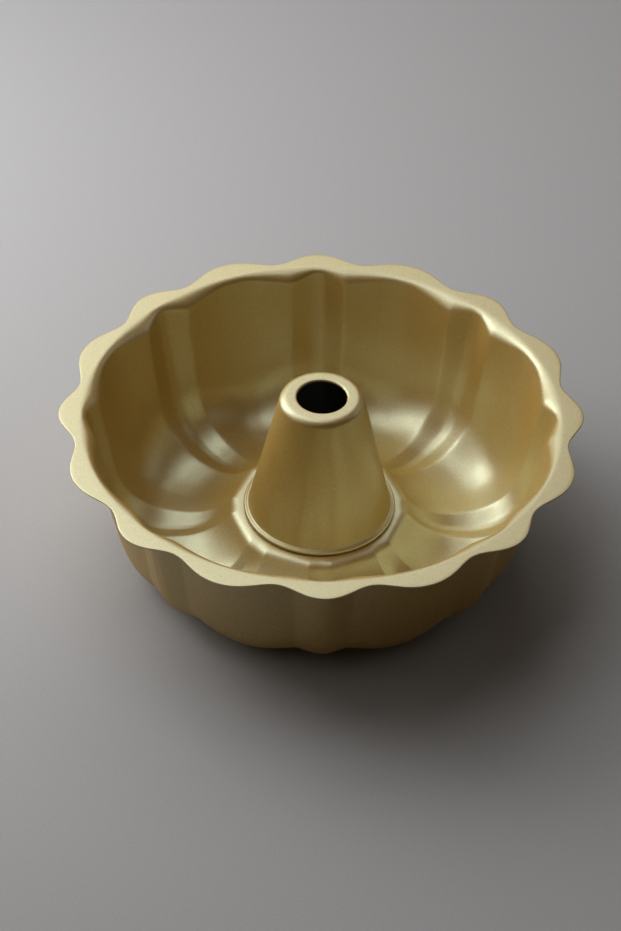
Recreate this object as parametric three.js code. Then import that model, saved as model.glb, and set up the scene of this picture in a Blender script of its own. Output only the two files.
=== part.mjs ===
// Fluted ring cake pan: a pressed sheet-steel body with a scalloped flange, and a hollow cone-shaped
// centre tube whose foot is rolled tight round the edge of the hole in the body's floor.
// Millimetres, +Z up. The pan stands on z = 0 and the axis of the pan is the Z axis.
import * as THREE from 'three';

const { degToRad, euclideanModulo, lerp } = THREE.MathUtils;

// Sheet metal
const sheet = 0.8; // thickness of both pressings
const coating = { color: 0xb9a271, roughness: 0.42, metalness: 0.85 }; // satin champagne non-stick

// Flutes: a narrow and a wide one in each pair, with an inward crease between neighbours
const flutePairs = 8;
const narrowHalfAngle = degToRad(7.2); // from the middle of a narrow flute to its crease
const narrowKeelHalfAngle = degToRad(0.8); // half of the level strip between a narrow flute's two flanks
const narrowKeelSoftness = degToRad(0.8); // rounding from that strip into the flanks
const wideKeelHalfAngle = degToRad(1.5);
const wideKeelSoftness = degToRad(3.5);
const creaseSoftness = 0.24; // rounding of the creases, as a share of the flutes' depth

// Body, measured on its inside surface
const rimHeight = 78.6; // top of the flange above the table
const fluteWallRadius = 116.7; // middle of a flute, where its wall would meet the flange's plane
const narrowDraft = degToRad(11); // lean of the wall in the middle of a narrow flute
const wideDraft = degToRad(12.6);
const creaseDraft = degToRad(8.4);
const narrowCornerRadius = 32.4; // round from wall to seat in the middle of a narrow flute
const wideCornerRadius = 25.5;
const creaseCornerRadius = 31.3;
const creaseInset = 4.7; // how far a crease stands inside the flutes at the rim
const creaseRise = 2.6; // how far a crease's lowest point lies above the flutes' seats
const seatWidth = 3; // level stretch at the bottom of each flute, along the radius

// Flange
const bendReach = 2.8; // from a flute's wall to the flat of the flange
const flangeWidth = 7.15; // flat of the flange, at its mean edge
const scallopDepth = 7.2; // from the tip of a lobe to the valley beside it
const scallopShift = 0.227; // makes the lobes over narrow flutes narrower, in radians of the wave
const scallopBluntness = 0.067; // flattens the tips, as a share of half the depth

// Centre tube, measured on its outside surface
const tubeRise = 11.2; // top of the tube above the flange
const tubeTopRadius = 20.5; // where the cone would meet the plane of the tube's top
const tubeFootRadius = 36.2; // cone at the top of the bead
const tubeHoleRadius = 12.45;
const lipBend = 0.2; // round inside the bend at the hole's turned-down edge
const lipDrop = 1.6; // depth of the turned-down edge
const shoulderBend = 2.4; // round inside the bend between the cone and the flat top
const beadWidth = 2.4;
const beadHeight = 2.3;
const beadRound = 1.1; // outer round at the top of the bead
const rollWidth = 3; // rolled edge that grips the floor from below, outside the floor's hole

// Floor: a level plateau that carries the tube, with a many-sided edge where the flutes begin
const plateauHeight = 17.5; // top of the plateau above the table
const plateauMargin = 6; // from the tube's bead to the corners of the plateau
const plateauRound = 2.5;
const floorHoleInset = 2.2; // how far the bead covers the floor round its hole
const seamClearance = 0.3; // between the tube's neck and the floor's hole

// Steps that curves are drawn with: along each stretch of the body, across flutes and round the tube
const bodySteps = { plateau: 1, edge: 2, sweep: 4, seat: 1, corner: 4, wall: 1, bend: 3, flange: 1 };
const keelSteps = 2;
const narrowFlankSteps = 3;
const wideFlankSteps = 4;
const tubeSides = 48;
const roundSteps = 3;

// Sizes that follow from these
const pairAngle = (2 * Math.PI) / flutePairs;
const wideHalfAngle = pairAngle / 2 - narrowHalfAngle;
const flangeInnerRadius = fluteWallRadius + bendReach;
const flangeMeanRadius = flangeInnerRadius + flangeWidth;
const beadRadius = tubeFootRadius + beadWidth;
const plateauRadius = beadRadius + plateauMargin;
const floorHoleRadius = beadRadius - floorHoleInset;
const floorUnderside = plateauHeight - sheet;
const tubeTop = rimHeight + tubeRise;

// Angle from the middle of the nearest narrow flute
function angleFromNarrow(angle) {
  return Math.abs(euclideanModulo(angle + pairAngle / 2, pairAngle) - pairAngle / 2);
}

// Share of a flute's depth on its two flanks, which fall away from the level strip in its middle
function flankShare(offset, halfAngle, keelHalfAngle, keelSoftness) {
  const fall = (reach) => Math.hypot(reach, keelSoftness) - keelSoftness;
  return 1 - fall(Math.max(0, offset - keelHalfAngle)) / fall(halfAngle - keelHalfAngle);
}

// Shares of the narrow and the wide flutes' form at an angle: 1 in a flute's middle, close to 0 at a crease
function fluteShares(angle) {
  const fromNarrow = angleFromNarrow(angle);
  const fromWide = pairAngle / 2 - fromNarrow;
  const soften = (share) => (share + Math.hypot(share, creaseSoftness)) / (1 + Math.hypot(1, creaseSoftness));
  const narrow = soften(flankShare(fromNarrow, narrowHalfAngle, narrowKeelHalfAngle, narrowKeelSoftness));
  const wide = soften(flankShare(fromWide, wideHalfAngle, wideKeelHalfAngle, wideKeelSoftness));
  const whole = Math.max(1, narrow + wide);
  return { narrow: narrow / whole, wide: wide / whole };
}

// The plateau's edge has straight sides, one across each flute, with its corners at the creases
function plateauEdge(angle) {
  const fromNarrow = angleFromNarrow(angle);
  const onNarrow = fromNarrow < narrowHalfAngle;
  const half = onNarrow ? narrowHalfAngle : wideHalfAngle;
  const offset = onNarrow ? fromNarrow : pairAngle / 2 - fromNarrow;
  return (plateauRadius * Math.cos(half)) / Math.cos(offset);
}

// Scalloped edge of the flange: one lobe over each flute
function flangeEdge(angle) {
  const wave = 2 * flutePairs * angle + scallopShift * Math.sin(flutePairs * angle);
  const lobe = Math.cos(wave) - scallopBluntness * Math.cos(2 * wave);
  return flangeMeanRadius + (scallopDepth / 2) * lobe;
}

function point(radius, height) {
  return new THREE.Vector2(radius, height);
}

function arc(centre, radius, from, to) {
  return new THREE.ArcCurve(centre.x, centre.y, radius, from, to, to < from);
}

// Tangent lines and arcs of the body's inside surface at one angle, from the floor's hole outwards
function meridian(angle) {
  const { narrow, wide } = fluteShares(angle);
  const crease = 1 - narrow - wide;
  const bottom = sheet + creaseRise * crease;
  const draft = narrowDraft * narrow + wideDraft * wide + creaseDraft * crease;
  const cornerRadius = narrowCornerRadius * narrow + wideCornerRadius * wide + creaseCornerRadius * crease;
  const wallRadius = fluteWallRadius - creaseInset * crease;

  // Round corner between the level seat and the leaning wall
  const cornerHeight = bottom + cornerRadius;
  const wallThere = wallRadius - (rimHeight - cornerHeight) * Math.tan(draft);
  const corner = point(wallThere - cornerRadius / Math.cos(draft), cornerHeight);
  const cornerEnd = point(
    corner.x + cornerRadius * Math.cos(draft),
    corner.y - cornerRadius * Math.sin(draft),
  );

  // Sweep from the seat up to the plateau, with the plateau's edge rounded off
  const seatEnd = point(corner.x, bottom);
  const seatStart = point(corner.x - seatWidth, bottom);
  const run = seatStart.x - plateauEdge(angle);
  const drop = plateauHeight - bottom;
  const sweepRadius = (run ** 2 + drop ** 2) / (2 * drop);
  const sweep = point(seatStart.x, bottom + sweepRadius);
  const edgeHeight = plateauHeight - plateauRound;
  const edgeTurn = Math.asin((sweep.y - edgeHeight) / (sweepRadius + plateauRound));
  const edge = point(sweep.x - (sweepRadius + plateauRound) * Math.cos(edgeTurn), edgeHeight);

  // Bend from the wall out into the flange
  const reach = flangeInnerRadius - wallRadius;
  const bendRadius = reach / Math.tan((Math.PI / 2 - draft) / 2);
  const bend = point(flangeInnerRadius, rimHeight - bendRadius);
  const wallEnd = point(wallRadius - reach * Math.sin(draft), rimHeight - reach * Math.cos(draft));

  return {
    plateau: new THREE.LineCurve(point(floorHoleRadius, plateauHeight), point(edge.x, plateauHeight)),
    edge: arc(edge, plateauRound, Math.PI / 2, edgeTurn),
    sweep: arc(sweep, sweepRadius, Math.PI + edgeTurn, 1.5 * Math.PI),
    seat: new THREE.LineCurve(seatStart, seatEnd),
    corner: arc(corner, cornerRadius, -Math.PI / 2, -draft),
    wall: new THREE.LineCurve(cornerEnd, wallEnd),
    bend: arc(bend, bendRadius, Math.PI - draft, Math.PI / 2),
    flange: new THREE.LineCurve(point(flangeInnerRadius, rimHeight), point(flangeEdge(angle), rimHeight)),
  };
}

// Points along a meridian, each with the direction in which the meridian runs there
function meridianSamples(angle) {
  const samples = [];
  for (const [name, curve] of Object.entries(meridian(angle))) {
    const steps = bodySteps[name];
    for (let step = samples.length === 0 ? 0 : 1; step <= steps; step += 1) {
      const along = step / steps;
      samples.push({ at: curve.getPoint(along), heading: curve.getTangent(along) });
    }
  }
  return samples;
}

// Closed section of the body's sheet at one angle: out along its inside, back along its outside
function bodySection(angle) {
  const nudge = 1e-4;
  const before = meridianSamples(angle - nudge);
  const after = meridianSamples(angle + nudge);
  const aroundAxis = new THREE.Vector3(0, 0, 1);
  const inside = [];
  const outside = [];
  meridianSamples(angle).forEach(({ at, heading }, index) => {
    const turn = after[index].at.clone().sub(before[index].at).divideScalar(2 * nudge);
    const along = new THREE.Vector3(heading.x, 0, heading.y);
    const around = new THREE.Vector3(turn.x, at.x, turn.y);
    const outward = around.cross(along).normalize();
    const here = new THREE.Vector3(at.x, 0, at.y);
    const behind = here.clone().addScaledVector(outward, sheet);
    inside.push(here.applyAxisAngle(aroundAxis, angle));
    outside.push(behind.applyAxisAngle(aroundAxis, angle));
  });
  return [...inside, ...outside.reverse()];
}

// Angles at which the body is drawn: always on the creases and on the strips in the flutes' middles
function bodyAngles() {
  const angles = [];
  for (let pair = 0; pair < flutePairs; pair += 1) {
    const middle = pair * pairAngle;
    const spread = (from, to, steps) => {
      for (let step = 0; step < steps; step += 1) {
        angles.push(middle + lerp(from, to, step / steps));
      }
    };
    spread(-narrowHalfAngle, -narrowKeelHalfAngle, narrowFlankSteps);
    spread(-narrowKeelHalfAngle, narrowKeelHalfAngle, keelSteps);
    spread(narrowKeelHalfAngle, narrowHalfAngle, narrowFlankSteps);
    const wideMiddle = pairAngle / 2;
    spread(narrowHalfAngle, wideMiddle - wideKeelHalfAngle, wideFlankSteps);
    spread(wideMiddle - wideKeelHalfAngle, wideMiddle + wideKeelHalfAngle, keelSteps);
    spread(wideMiddle + wideKeelHalfAngle, pairAngle - narrowHalfAngle, wideFlankSteps);
  }
  return angles;
}

// Skin over closed sections that follow each other all the way round the axis
function ringSkin(sections) {
  const count = sections[0].length;
  const index = [];
  sections.forEach((_, section) => {
    const next = (section + 1) % sections.length;
    for (let corner = 0; corner < count; corner += 1) {
      const ahead = (corner + 1) % count;
      const here = section * count + corner;
      const hereAhead = section * count + ahead;
      const there = next * count + corner;
      const thereAhead = next * count + ahead;
      index.push(here, hereAhead, thereAhead, here, thereAhead, there);
    }
  });
  const geometry = new THREE.BufferGeometry().setFromPoints(sections.flat());
  geometry.setIndex(index);
  geometry.computeVertexNormals();
  return geometry;
}

// Closed section of the tube in (radius, height): up its outside, through the hole's edge, down its inside
function tubeSection() {
  const footHeight = plateauHeight + beadHeight;
  const lean = Math.atan((tubeFootRadius - tubeTopRadius) / (tubeTop - footHeight));
  const neckRadius = floorHoleRadius - seamClearance;
  const rollRadius = floorHoleRadius + rollWidth;

  // Bends of the sheet at the shoulder and at the hole's edge, with the rounds outside them
  const shoulderRound = shoulderBend + sheet;
  const shoulderReach = shoulderRound * Math.tan((Math.PI / 2 - lean) / 2);
  const shoulder = point(tubeTopRadius - shoulderReach, tubeTop - shoulderRound);
  const lipRound = lipBend + sheet;
  const lip = point(tubeHoleRadius + lipRound, tubeTop - lipRound);

  const bead = point(beadRadius - beadRound, footHeight - beadRound);
  const neckInnerRadius = neckRadius - sheet;
  const coneInnerRadius = tubeFootRadius - sheet / Math.cos(lean);
  return [
    point(neckInnerRadius, floorUnderside - sheet),
    point(rollRadius, floorUnderside - sheet),
    point(rollRadius, floorUnderside),
    point(neckRadius, floorUnderside),
    point(neckRadius, plateauHeight),
    point(beadRadius, plateauHeight),
    ...arc(bead, beadRound, 0, Math.PI / 2).getPoints(roundSteps),
    point(tubeFootRadius, footHeight),
    ...arc(shoulder, shoulderRound, lean, Math.PI / 2).getPoints(roundSteps),
    ...arc(lip, lipRound, Math.PI / 2, Math.PI).getPoints(roundSteps),
    point(tubeHoleRadius, tubeTop - lipDrop),
    point(tubeHoleRadius + sheet, tubeTop - lipDrop),
    point(lip.x - lipBend, lip.y),
    point(lip.x, lip.y + lipBend),
    ...arc(shoulder, shoulderBend, Math.PI / 2, lean).getPoints(roundSteps),
    point(coneInnerRadius, footHeight),
    point(neckInnerRadius, plateauHeight),
    point(neckInnerRadius, floorUnderside - sheet),
  ];
}

function subPart(name, geometry) {
  const mesh = new THREE.Mesh(geometry, new THREE.MeshStandardMaterial(coating));
  mesh.name = name;
  return mesh;
}

const pan = new THREE.Group();
pan.add(subPart('fluted_body', ringSkin(bodyAngles().map(bodySection))));
pan.add(subPart('centre_tube', new THREE.LatheGeometry(tubeSection(), tubeSides).rotateX(Math.PI / 2)));

export default pan;
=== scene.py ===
# Fluted ring cake pan: the visual model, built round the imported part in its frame.
import math

import bpy
from mathutils import Matrix, Vector


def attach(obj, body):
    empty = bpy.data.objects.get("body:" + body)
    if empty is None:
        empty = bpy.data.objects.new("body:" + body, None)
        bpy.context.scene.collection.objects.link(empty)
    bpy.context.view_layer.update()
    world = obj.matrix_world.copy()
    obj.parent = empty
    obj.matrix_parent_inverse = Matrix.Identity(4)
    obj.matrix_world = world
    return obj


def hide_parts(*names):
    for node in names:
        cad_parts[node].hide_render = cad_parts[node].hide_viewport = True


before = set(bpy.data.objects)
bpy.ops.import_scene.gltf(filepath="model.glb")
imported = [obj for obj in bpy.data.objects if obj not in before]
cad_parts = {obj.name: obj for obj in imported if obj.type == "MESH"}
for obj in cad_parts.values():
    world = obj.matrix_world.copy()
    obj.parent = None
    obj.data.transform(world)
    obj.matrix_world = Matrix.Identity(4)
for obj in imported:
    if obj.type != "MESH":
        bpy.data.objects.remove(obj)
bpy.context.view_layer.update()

# The pan and the camera are written in millimetres, the stage in metres, and objects are made in metres
MM = 0.001

# Sheet metal
SHEET = 0.8
EDGE_ROUND = 0.38  # broken edges of the cut sheet

# Flutes: a narrow and a wide one in each pair, with an inward crease between neighbours
FLUTE_PAIRS = 8
NARROW_HALF_ANGLE = math.radians(7.2)
NARROW_KEEL_HALF_ANGLE = math.radians(0.8)
NARROW_KEEL_SOFTNESS = math.radians(0.8)
WIDE_KEEL_HALF_ANGLE = math.radians(1.5)
WIDE_KEEL_SOFTNESS = math.radians(3.5)
CREASE_SOFTNESS = 0.12  # share of a flute's depth

# Body, measured on its inside surface
RIM_HEIGHT = 78.6
FLUTE_WALL_RADIUS = 116.7
NARROW_DRAFT = math.radians(11)
WIDE_DRAFT = math.radians(12.6)
CREASE_DRAFT = math.radians(8.4)
NARROW_CORNER_RADIUS = 32.4
WIDE_CORNER_RADIUS = 25.5
CREASE_CORNER_RADIUS = 31.3
CREASE_INSET = 4.7
CREASE_RISE = 2.6
SEAT_WIDTH = 3

# Flange
BEND_REACH = 2.8
FLANGE_WIDTH = 7.15
SCALLOP_DEPTH = 7.2
SCALLOP_SHIFT = 0.227  # radians, which makes the narrow flutes' lobes narrower
SCALLOP_BLUNTNESS = 0.067

# Centre tube, measured on its outside surface
TUBE_RISE = 11.2
TUBE_TOP_RADIUS = 20.5
TUBE_FOOT_RADIUS = 36.2
TUBE_HOLE_RADIUS = 12.45
LIP_BEND = 0.2
LIP_DROP = 1.6
SHOULDER_BEND = 3.4
BEAD_WIDTH = 2.4
BEAD_HEIGHT = 2.3
BEAD_ROUND = 0.95
BEAD_LIFT = 0.4  # dark gap under the bead
BEAD_STEM_INSET = 0.6
FOOT_FILLET = 0.6  # hollow round between the cone and its bead
SEAM_GROOVE_DEPTH = 0.3
SEAM_GROOVE_HALF_WIDTH = 0.4
ROLL_WIDTH = 3

# Floor of the pan
PLATEAU_HEIGHT = 17.5
PLATEAU_MARGIN = 6
PLATEAU_ROUND = 7
FLOOR_HOLE_INSET = 2.2
SEAM_CLEARANCE = 0.3

# Steps that curves are drawn with
PLATEAU_STEPS = 5
EDGE_STEPS = 6
SWEEP_STEPS = 16
SEAT_STEPS = 3
CORNER_STEPS = 16
WALL_STEPS = 9
BEND_STEPS = 8
FLANGE_STEPS = 5
NARROW_STEPS = 14
WIDE_STEPS = 36
TUBE_SIDES = 288
ROUND_STEPS = 8
CONE_STEPS = 10
ANGLE_NUDGE = 1e-4  # radians, to find how the sheet runs round the axis

# Sizes that follow from these
PAIR_ANGLE = 2 * math.pi / FLUTE_PAIRS
WIDE_HALF_ANGLE = PAIR_ANGLE / 2 - NARROW_HALF_ANGLE
FLANGE_INNER_RADIUS = FLUTE_WALL_RADIUS + BEND_REACH
FLANGE_MEAN_RADIUS = FLANGE_INNER_RADIUS + FLANGE_WIDTH
BEAD_RADIUS = TUBE_FOOT_RADIUS + BEAD_WIDTH
PLATEAU_RADIUS = BEAD_RADIUS + PLATEAU_MARGIN
FLOOR_HOLE_RADIUS = BEAD_RADIUS - FLOOR_HOLE_INSET
FLOOR_UNDERSIDE = PLATEAU_HEIGHT - SHEET
TUBE_TOP = RIM_HEIGHT + TUBE_RISE

# Coating: each noise is its scale, detail and roughness, and each bump its strength and its depth in metres
FLAKE_NOISE = (1200, 2, 0.65)
FLAKE_RANGE = (0.33, 0.67)
DARK_FLAKE = (0.30, 0.150, 0.008)
PALE_FLAKE = (0.52, 0.261, 0.014)
FLAKE_BUMP = (0.34, 0.00002)
SPRAY_NOISE = (520, 3, 0.55)
SPRAY_RANGE = (0.3, 0.7)
SPRAY_ROUGHNESS = (0.38, 0.46)
PEEL_BUMP = (0.10, 0.00003)
DRIFT_NOISE = (16, 2, 0.5)
DRIFT_RANGE = (0.35, 0.65)
DRIFT_SHARE = 0.14
DRIFT_TONE = (0.37, 0.182, 0.009)
# Painted shade for the tube's inside, standing for the shadow down the hole
TUBE_INSIDE_PAINTED_SHADE = (0.03, 0.022, 0.014)
COATING_IOR = 4.1
HIGHLIGHT_TINT = (0.905, 1, 0.74)
UPPER_SPECULAR_LEVEL = 0.5
UNDERSIDE_SPECULAR_LEVEL = 0.3  # duller on the underside of both pressings

# Stage
FLOOR_HALF_WIDTH = 6
FLOOR_NOISE = (900, 3, 0.6)
FLOOR_RANGE = (0.3, 0.7)
FLOOR_TONES = ((0.415, 0.41, 0.415), (0.455, 0.45, 0.455))
FLOOR_ROUGHNESS = 0.85
ROOM_TONES = ((0.026, 0.019, 0.012), (0.042, 0.033, 0.022))

# Soft boxes: azimuth and elevation in degrees, distance, width, height, and brightness of the face
SOFT_BOXES = {
    "key_back_left": (-60, 27, 0.75, 0.40, 0.66, 3.9),
    "key_tall": (-60, 38, 0.75, 0.50, 0.90, 0.88),
    "left": (-95, 30, 0.75, 0.36, 0.50, 0.58),
    "left_front": (-120, 45, 1.2, 0.8, 0.6, 0.24),
    "back_left": (-22, 36, 0.80, 0.42, 0.34, 0.7),
    "back": (-12, 44, 1.4, 1.3, 0.9, 1.36),
    "overhead": (-48, 77, 0.9, 0.55, 0.5, 1.55),
    "right": (70, 25, 1.5, 1.0, 0.9, 0.42),
}

# Camera, measured from the photograph's perspective, with its angles in radians
PHOTO_SIZE = (621, 931)
FOCAL_PIXELS = 2578.9
CAMERA_ELEVATION = 0.730259
CAMERA_ROLL = 0.0228019
PAN_TURN = 0.0256677
AIM_PIXELS = (11.1417, -51.8940)
AIM_DISTANCE = 1276.4575
SENSOR = 36


def between(start, end, share):
    return start + (end - start) * share


# Angle to the middle of the nearest narrow flute
def angle_from_narrow(angle):
    return abs((angle + PAIR_ANGLE / 2) % PAIR_ANGLE - PAIR_ANGLE / 2)


# Share of a flute's depth on its two flanks, which fall away from the level strip in its middle
def flank_share(offset, half_angle, keel_half_angle, keel_softness):
    reach = max(0, offset - keel_half_angle)
    whole = half_angle - keel_half_angle
    fall = math.hypot(reach, keel_softness) - keel_softness
    whole_fall = math.hypot(whole, keel_softness) - keel_softness
    return 1 - fall / whole_fall


# Share that levels out gently where it comes down to 0 at a crease
def soften(share):
    return (share + math.hypot(share, CREASE_SOFTNESS)) / (1 + math.hypot(1, CREASE_SOFTNESS))


# Shares of the narrow and the wide flutes' form at an angle: 1 in a flute's middle, close to 0 at a crease
def flute_shares(angle):
    from_narrow = angle_from_narrow(angle)
    from_wide = PAIR_ANGLE / 2 - from_narrow
    narrow_flank = flank_share(from_narrow, NARROW_HALF_ANGLE, NARROW_KEEL_HALF_ANGLE, NARROW_KEEL_SOFTNESS)
    wide_flank = flank_share(from_wide, WIDE_HALF_ANGLE, WIDE_KEEL_HALF_ANGLE, WIDE_KEEL_SOFTNESS)
    narrow = soften(narrow_flank)
    wide = soften(wide_flank)
    whole = max(1, narrow + wide)
    return narrow / whole, wide / whole


# Straight-sided edge of the plateau, one side across each flute
def plateau_edge(angle):
    from_narrow = angle_from_narrow(angle)
    on_narrow = from_narrow < NARROW_HALF_ANGLE
    half = NARROW_HALF_ANGLE if on_narrow else WIDE_HALF_ANGLE
    offset = from_narrow if on_narrow else PAIR_ANGLE / 2 - from_narrow
    return PLATEAU_RADIUS * math.cos(half) / math.cos(offset)


# Scalloped edge of the flange, one lobe over each flute
def flange_edge(angle):
    wave = 2 * FLUTE_PAIRS * angle + SCALLOP_SHIFT * math.sin(FLUTE_PAIRS * angle)
    lobe = math.cos(wave) - SCALLOP_BLUNTNESS * math.cos(2 * wave)
    return FLANGE_MEAN_RADIUS + SCALLOP_DEPTH / 2 * lobe


# Points on a line and on an arc in (radius, height), each with the direction of travel
def line_points(start, end, steps):
    length = math.hypot(end[0] - start[0], end[1] - start[1])
    heading = ((end[0] - start[0]) / length, (end[1] - start[1]) / length)
    return [
        ((between(start[0], end[0], step / steps), between(start[1], end[1], step / steps)), heading)
        for step in range(steps + 1)
    ]


def arc_points(centre, radius, start, end, steps):
    way = 1 if end > start else -1
    points = []
    for step in range(steps + 1):
        turn = between(start, end, step / steps)
        at = (centre[0] + radius * math.cos(turn), centre[1] + radius * math.sin(turn))
        points.append((at, (-way * math.sin(turn), way * math.cos(turn))))
    return points


# These points without their directions
def places(samples):
    return [at for at, _ in samples]


# The body's inside surface at one angle, from the floor's hole out to the flange's rounded edge
def meridian(angle):
    narrow, wide = flute_shares(angle)
    crease = 1 - narrow - wide
    bottom = SHEET + CREASE_RISE * crease
    draft = NARROW_DRAFT * narrow + WIDE_DRAFT * wide + CREASE_DRAFT * crease
    corner_radius = NARROW_CORNER_RADIUS * narrow + WIDE_CORNER_RADIUS * wide + CREASE_CORNER_RADIUS * crease
    wall_radius = FLUTE_WALL_RADIUS - CREASE_INSET * crease

    corner_height = bottom + corner_radius
    wall_there = wall_radius - (RIM_HEIGHT - corner_height) * math.tan(draft)
    corner = (wall_there - corner_radius / math.cos(draft), corner_height)
    corner_end = (corner[0] + corner_radius * math.cos(draft), corner[1] - corner_radius * math.sin(draft))

    seat_end = (corner[0], bottom)
    seat_start = (corner[0] - SEAT_WIDTH, bottom)
    run = seat_start[0] - plateau_edge(angle)
    drop = PLATEAU_HEIGHT - bottom
    sweep_radius = (run**2 + drop**2) / (2 * drop)
    sweep = (seat_start[0], bottom + sweep_radius)
    edge_height = PLATEAU_HEIGHT - PLATEAU_ROUND
    edge_turn = math.asin((sweep[1] - edge_height) / (sweep_radius + PLATEAU_ROUND))
    edge = (sweep[0] - (sweep_radius + PLATEAU_ROUND) * math.cos(edge_turn), edge_height)

    reach = FLANGE_INNER_RADIUS - wall_radius
    bend_radius = reach / math.tan((math.pi / 2 - draft) / 2)
    bend = (FLANGE_INNER_RADIUS, RIM_HEIGHT - bend_radius)
    wall_end = (wall_radius - reach * math.sin(draft), RIM_HEIGHT - reach * math.cos(draft))

    hole = (FLOOR_HOLE_RADIUS, PLATEAU_HEIGHT)
    plateau_end = (edge[0], PLATEAU_HEIGHT)
    flange_start = (FLANGE_INNER_RADIUS, RIM_HEIGHT)
    flange_end = (flange_edge(angle) - EDGE_ROUND, RIM_HEIGHT)
    stretches = [
        line_points(hole, plateau_end, PLATEAU_STEPS),
        arc_points(edge, PLATEAU_ROUND, math.pi / 2, edge_turn, EDGE_STEPS),
        arc_points(sweep, sweep_radius, math.pi + edge_turn, 1.5 * math.pi, SWEEP_STEPS),
        line_points(seat_start, seat_end, SEAT_STEPS),
        arc_points(corner, corner_radius, -math.pi / 2, -draft, CORNER_STEPS),
        line_points(corner_end, wall_end, WALL_STEPS),
        arc_points(bend, bend_radius, math.pi - draft, math.pi / 2, BEND_STEPS),
        line_points(flange_start, flange_end, FLANGE_STEPS),
    ]
    samples = stretches[0][:1]
    for stretch in stretches:
        samples.extend(stretch[1:])
    return samples


# Closed section of the body's sheet at one angle: out along its inside and round the edge, then back outside
def body_section(angle):
    turned = Matrix.Rotation(angle, 3, "Z")
    before = meridian(angle - ANGLE_NUDGE)
    after = meridian(angle + ANGLE_NUDGE)
    width = 2 * ANGLE_NUDGE
    inside = []
    outside = []
    for (at, heading), (low, _), (high, _) in zip(meridian(angle), before, after):
        along = Vector((heading[0], 0, heading[1]))
        around = Vector(((high[0] - low[0]) / width, at[0], (high[1] - low[1]) / width))
        outward = around.cross(along).normalized()
        here = Vector((at[0], 0, at[1]))
        inside.append(turned @ here)
        outside.append(turned @ (here + SHEET * outward))
    edge = flange_edge(angle) - EDGE_ROUND
    upper_centre = (edge, RIM_HEIGHT - EDGE_ROUND)
    lower_centre = (edge, RIM_HEIGHT - SHEET + EDGE_ROUND)
    upper = places(arc_points(upper_centre, EDGE_ROUND, math.pi / 2, 0, ROUND_STEPS // 2))
    lower = places(arc_points(lower_centre, EDGE_ROUND, 0, -math.pi / 2, ROUND_STEPS // 2))
    rounded = [turned @ Vector((at[0], 0, at[1])) for at in upper[1:] + lower[:-1]]
    return inside + rounded, outside[::-1]


# Angles at which the body is drawn, closer together near the creases and the middles of the narrow flutes
def body_angles():
    angles = []
    for pair in range(FLUTE_PAIRS):
        middle = pair * PAIR_ANGLE
        spans = (
            (-NARROW_HALF_ANGLE, 0, NARROW_STEPS),
            (0, NARROW_HALF_ANGLE, NARROW_STEPS),
            (NARROW_HALF_ANGLE, PAIR_ANGLE - NARROW_HALF_ANGLE, WIDE_STEPS),
        )
        for start, end, steps in spans:
            for step in range(steps):
                share = (1 - math.cos(math.pi * step / steps)) / 2
                angles.append(middle + between(start, end, share))
    return angles


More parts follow.
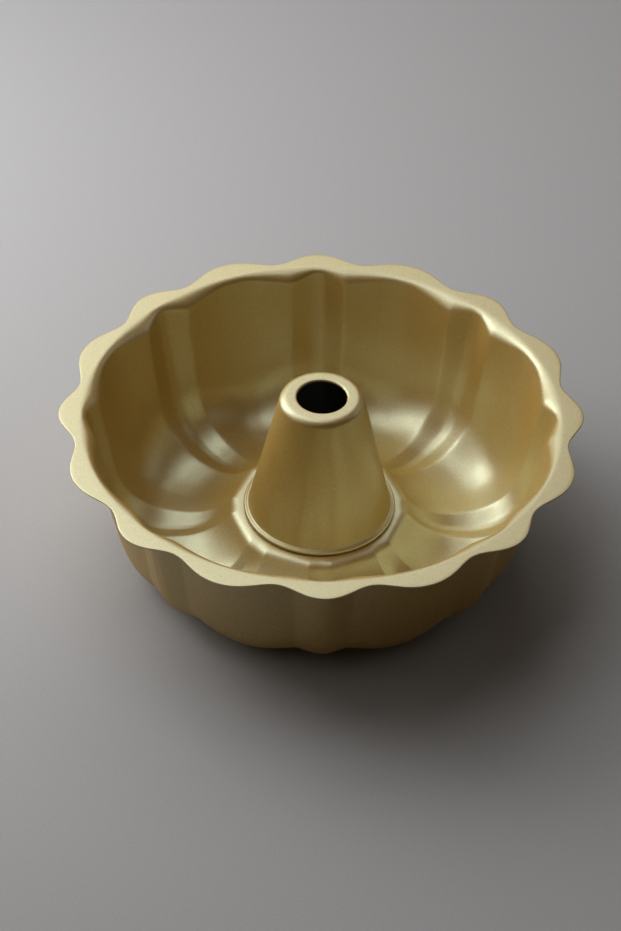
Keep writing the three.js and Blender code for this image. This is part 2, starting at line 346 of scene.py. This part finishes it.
# Closed section of the tube in (radius, height): up its outside to the hole's edge, then down its inside
def tube_section():
    foot_height = PLATEAU_HEIGHT + BEAD_HEIGHT
    lean = math.atan((TUBE_FOOT_RADIUS - TUBE_TOP_RADIUS) / (TUBE_TOP - foot_height))
    neck = FLOOR_HOLE_RADIUS - SEAM_CLEARANCE
    roll_round = SHEET / 2
    roll = (FLOOR_HOLE_RADIUS + ROLL_WIDTH - roll_round, FLOOR_UNDERSIDE - roll_round)
    roll_bottom = roll[1] - roll_round

    shoulder_round = SHOULDER_BEND + SHEET
    shoulder_reach = shoulder_round * math.tan((math.pi / 2 - lean) / 2)
    shoulder = (TUBE_TOP_RADIUS - shoulder_reach, TUBE_TOP - shoulder_round)
    lip_round = LIP_BEND + SHEET
    lip = (TUBE_HOLE_RADIUS + lip_round, TUBE_TOP - lip_round)
    lip_bottom = (TUBE_HOLE_RADIUS + SHEET / 2, TUBE_TOP - LIP_DROP + SHEET / 2)

    # Rolled bead with a shallow seam groove, and the hollow round up into the cone
    bead = (BEAD_RADIUS - BEAD_ROUND, PLATEAU_HEIGHT + BEAD_LIFT + BEAD_ROUND)
    stem = bead[0] - BEAD_STEM_INSET
    bead_top = bead[1] + BEAD_ROUND
    fillet_height = bead_top + FOOT_FILLET
    cone_there = TUBE_FOOT_RADIUS - (fillet_height - foot_height) * math.tan(lean)
    fillet = (cone_there + FOOT_FILLET / math.cos(lean), fillet_height)
    groove_middle = (fillet[0] + bead[0]) / 2
    groove = []
    for step in range(ROUND_STEPS + 1):
        share = 1 - 2 * step / ROUND_STEPS
        depth = SEAM_GROOVE_DEPTH * (1 + math.cos(math.pi * share)) / 2
        groove.append((groove_middle + SEAM_GROOVE_HALF_WIDTH * share, bead_top - depth))

    neck_inner = neck - SHEET
    cone_inner = TUBE_FOOT_RADIUS - SHEET / math.cos(lean)
    cone_foot = (fillet[0] - FOOT_FILLET * math.cos(lean), fillet[1] - FOOT_FILLET * math.sin(lean))
    cone_head = (shoulder[0] + shoulder_round * math.cos(lean), shoulder[1] + shoulder_round * math.sin(lean))
    inner_head = (shoulder[0] + SHOULDER_BEND * math.cos(lean), shoulder[1] + SHOULDER_BEND * math.sin(lean))

    outer = [(neck_inner + roll_round, roll_bottom), (neck, roll_bottom)]
    outer += places(arc_points(roll, roll_round, -math.pi / 2, math.pi / 2, ROUND_STEPS))
    outer += [(neck + roll_round, FLOOR_UNDERSIDE), (neck, FLOOR_UNDERSIDE), (neck, PLATEAU_HEIGHT)]
    outer += [((neck + stem) / 2, PLATEAU_HEIGHT), (stem, PLATEAU_HEIGHT), (stem, PLATEAU_HEIGHT + BEAD_LIFT)]
    outer += places(arc_points(bead, BEAD_ROUND, -math.pi / 2, math.pi / 2, 2 * ROUND_STEPS))
    outer += groove
    outer += places(arc_points(fillet, FOOT_FILLET, 1.5 * math.pi, math.pi + lean, ROUND_STEPS))
    outer += places(line_points(cone_foot, cone_head, CONE_STEPS))[1:-1]
    outer += places(arc_points(shoulder, shoulder_round, lean, math.pi / 2, ROUND_STEPS))
    outer += places(line_points((shoulder[0], TUBE_TOP), (lip[0], TUBE_TOP), ROUND_STEPS // 2))[1:-1]
    outer += places(arc_points(lip, lip_round, math.pi / 2, math.pi, ROUND_STEPS))
    inner = places(arc_points(lip_bottom, SHEET / 2, math.pi, 2 * math.pi, ROUND_STEPS))
    inner += places(arc_points(lip, LIP_BEND, math.pi, math.pi / 2, ROUND_STEPS // 2))
    inner += places(arc_points(shoulder, SHOULDER_BEND, math.pi / 2, lean, ROUND_STEPS))
    inner += places(line_points(inner_head, (cone_inner, foot_height), CONE_STEPS))[1:]
    inner += [(neck_inner, PLATEAU_HEIGHT), (neck_inner, roll[1])]
    return outer, inner


# Skin over closed sections that follow each other all the way round the axis. Each section is a pair of its
# upper and its underside points, and the coats are for the faces of these two.
def ring_skin(name, sections, coats):
    upper_count = len(sections[0][0])
    count = upper_count + len(sections[0][1])
    points = []
    faces = []
    face_coats = []
    for number, (upper, underside) in enumerate(sections):
        points.extend(MM * point for point in upper + underside)
        here = number * count
        there = (number + 1) % len(sections) * count
        for corner in range(count):
            ahead = (corner + 1) % count
            faces.append((here + corner, here + ahead, there + ahead, there + corner))
            face_coats.append(int(corner >= upper_count))
    mesh = bpy.data.meshes.new(name)
    mesh.from_pydata(points, [], faces)
    for coat in coats:
        mesh.materials.append(coat)
    mesh.polygons.foreach_set("material_index", face_coats)
    mesh.validate()
    mesh.shade_smooth()
    piece = bpy.data.objects.new(name, mesh)
    bpy.context.scene.collection.objects.link(piece)
    return piece


# Skin of one section that is turned round the axis
def lathe(name, upper, underside, sides, coats):
    def turned(section, turn):
        return [
            Vector((radius * math.cos(turn), radius * math.sin(turn), height))
            for radius, height in section
        ]

    turns = [2 * math.pi * side / sides for side in range(sides)]
    return ring_skin(name, [(turned(upper, turn), turned(underside, turn)) for turn in turns], coats)


class Nodes:
    """A material's or world's node tree, with short calls for its nodes and links."""

    def __init__(self, owner):
        owner.use_nodes = True
        self.tree = owner.node_tree
        self.tree.nodes.clear()

    def add(self, kind, **settings):
        node = self.tree.nodes.new(kind)
        for name, value in settings.items():
            setattr(node, name, value)
        return node

    def link(self, source, target):
        self.tree.links.new(source, target)

    def noise(self, place, scale, detail, roughness):
        node = self.add("ShaderNodeTexNoise")
        node.inputs["Scale"].default_value = scale
        node.inputs["Detail"].default_value = detail
        node.inputs["Roughness"].default_value = roughness
        self.link(place, node.inputs["Vector"])
        return node.outputs["Fac"]

    def spread(self, value, low, high, to_low, to_high):
        node = self.add("ShaderNodeMapRange")
        node.inputs["From Min"].default_value = low
        node.inputs["From Max"].default_value = high
        node.inputs["To Min"].default_value = to_low
        node.inputs["To Max"].default_value = to_high
        self.link(value, node.inputs["Value"])
        return node.outputs["Result"]

    def mix(self, share, first, second):
        node = self.add("ShaderNodeMix", data_type="RGBA")
        self.link(share, node.inputs["Factor"])
        for socket, colour in ((node.inputs["A"], first), (node.inputs["B"], second)):
            if isinstance(colour, tuple):
                socket.default_value = (*colour, 1)
            else:
                self.link(colour, socket)
        return node.outputs["Result"]

    def bump(self, height, strength, distance, normal=None):
        node = self.add("ShaderNodeBump")
        node.inputs["Strength"].default_value = strength
        node.inputs["Distance"].default_value = distance
        self.link(height, node.inputs["Height"])
        if normal is not None:
            self.link(normal, node.inputs["Normal"])
        return node.outputs["Normal"]


# Satin champagne non-stick coating: metal flakes in a clear binder, sprayed a little unevenly. The inside of
# the tube is darkened with painted shade, for the shadow down the hole.
def coating_material(name, specular_level):
    material = bpy.data.materials.new(name)
    nodes = Nodes(material)
    place = nodes.add("ShaderNodeTexCoord").outputs["Object"]
    flakes = nodes.noise(place, *FLAKE_NOISE)
    spray = nodes.noise(place, *SPRAY_NOISE)
    drift = nodes.noise(place, *DRIFT_NOISE)

    shader = nodes.add("ShaderNodeBsdfPrincipled")
    flake_tone = nodes.mix(nodes.spread(flakes, *FLAKE_RANGE, 0, 1), DARK_FLAKE, PALE_FLAKE)
    drift_tone = nodes.mix(nodes.spread(drift, *DRIFT_RANGE, 0, DRIFT_SHARE), flake_tone, DRIFT_TONE)
    # Painted shade: the tube's inside faces are mixed towards a dark tone that stands for the shadow down the
    # hole
    inside = nodes.add("ShaderNodeAttribute", attribute_name="inside").outputs["Fac"]
    nodes.link(nodes.mix(inside, drift_tone, TUBE_INSIDE_PAINTED_SHADE), shader.inputs["Base Color"])
    nodes.link(nodes.spread(spray, *SPRAY_RANGE, *SPRAY_ROUGHNESS), shader.inputs["Roughness"])
    shader.inputs["Specular IOR Level"].default_value = specular_level
    shader.inputs["IOR"].default_value = COATING_IOR
    shader.inputs["Specular Tint"].default_value = (*HIGHLIGHT_TINT, 1)
    peel = nodes.bump(spray, *PEEL_BUMP)
    nodes.link(nodes.bump(flakes, *FLAKE_BUMP, peel), shader.inputs["Normal"])
    nodes.link(shader.outputs["BSDF"], nodes.add("ShaderNodeOutputMaterial").inputs["Surface"])
    return material


# Pale matt floor that the pan stands on
def floor_material():
    material = bpy.data.materials.new("pale_floor")
    nodes = Nodes(material)
    place = nodes.add("ShaderNodeTexCoord").outputs["Object"]
    grain = nodes.noise(place, *FLOOR_NOISE)
    shader = nodes.add("ShaderNodeBsdfPrincipled")
    tone = nodes.mix(nodes.spread(grain, *FLOOR_RANGE, 0, 1), *FLOOR_TONES)
    nodes.link(tone, shader.inputs["Base Color"])
    shader.inputs["Roughness"].default_value = FLOOR_ROUGHNESS
    nodes.link(shader.outputs["BSDF"], nodes.add("ShaderNodeOutputMaterial").inputs["Surface"])
    return material


def add_floor():
    half = FLOOR_HALF_WIDTH
    corners = [(-half, -half, 0), (half, -half, 0), (half, half, 0), (-half, half, 0)]
    mesh = bpy.data.meshes.new("floor")
    mesh.from_pydata(corners, [], [(0, 1, 2, 3)])
    mesh.materials.append(floor_material())
    floor = bpy.data.objects.new("floor", mesh)
    bpy.context.scene.collection.objects.link(floor)


# Soft box that looks at the pan; its strength is the brightness of its face
def add_soft_box(name, azimuth, elevation, distance, width, height, brightness):
    lamp = bpy.data.lights.new(name, "AREA")
    lamp.shape = "RECTANGLE"
    lamp.size = width
    lamp.size_y = height
    lamp.energy = brightness * math.pi * width * height
    box = bpy.data.objects.new(name, lamp)
    turn = math.radians(azimuth)
    lift = math.radians(elevation)
    away = Vector((math.sin(turn) * math.cos(lift), math.cos(turn) * math.cos(lift), math.sin(lift)))
    box.location = away * distance + Vector((0, 0, RIM_HEIGHT * MM / 2))
    box.rotation_euler = away.to_track_quat("Z", "Y").to_euler()
    box.visible_camera = False
    bpy.context.scene.collection.objects.link(box)


# Dim, warm room behind the soft boxes, a little lighter above
def set_world():
    world = bpy.data.worlds.new("studio")
    bpy.context.scene.world = world
    nodes = Nodes(world)
    split = nodes.add("ShaderNodeSeparateXYZ")
    nodes.link(nodes.add("ShaderNodeTexCoord").outputs["Generated"], split.inputs["Vector"])
    background = nodes.add("ShaderNodeBackground")
    nodes.link(nodes.mix(split.outputs["Z"], *ROOM_TONES), background.inputs["Color"])
    nodes.link(background.outputs["Background"], nodes.add("ShaderNodeOutputWorld").inputs["Surface"])


# Camera placed so that the rim falls where it does in the photograph
def add_camera():
    lift_cos = math.cos(CAMERA_ELEVATION)
    lift_sin = math.sin(CAMERA_ELEVATION)
    roll = Matrix.Rotation(CAMERA_ROLL, 3, "Z")
    level = Matrix(((1, 0, 0), (0, -lift_sin, -lift_cos), (0, lift_cos, -lift_sin)))
    turn = Matrix.Rotation(PAN_TURN, 3, "Z")
    seen = roll @ level @ turn
    scale = AIM_DISTANCE / FOCAL_PIXELS
    rim_centre = Vector((AIM_PIXELS[0] * scale, AIM_PIXELS[1] * scale, AIM_DISTANCE))
    axes = seen.transposed() @ Matrix(((1, 0, 0), (0, -1, 0), (0, 0, -1)))
    camera = bpy.data.objects.new("camera", bpy.data.cameras.new("camera"))
    camera.data.sensor_width = SENSOR
    camera.data.lens = FOCAL_PIXELS * SENSOR / max(PHOTO_SIZE)
    placed = axes.to_4x4()
    placed.translation = MM * (Vector((0, 0, RIM_HEIGHT)) - seen.transposed() @ rim_centre)
    camera.matrix_world = placed
    bpy.context.scene.collection.objects.link(camera)
    bpy.context.scene.camera = camera


add_camera()
coats = (
    coating_material("champagne_nonstick", UPPER_SPECULAR_LEVEL),
    coating_material("champagne_nonstick_underside", UNDERSIDE_SPECULAR_LEVEL),
)
body = ring_skin("fluted_body_pressing", [body_section(angle) for angle in body_angles()], coats)
tube_outer, tube_inner = tube_section()
tube = lathe("centre_tube_cone", tube_outer, tube_inner, TUBE_SIDES, coats)
# Marks the tube's inside faces for the painted shade of the hole
inside = tube.data.attributes.new("inside", "FLOAT", "POINT")
inside.data.foreach_set("value", ([0.0] * len(tube_outer) + [1.0] * len(tube_inner)) * TUBE_SIDES)
for piece, node in ((body, "fluted_body"), (tube, "centre_tube")):
    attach(piece, "root")
    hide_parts(node)

add_floor()
set_world()
for name, settings in SOFT_BOXES.items():
    add_soft_box(name, *settings)
bpy.context.scene.view_settings.view_transform = "Standard"
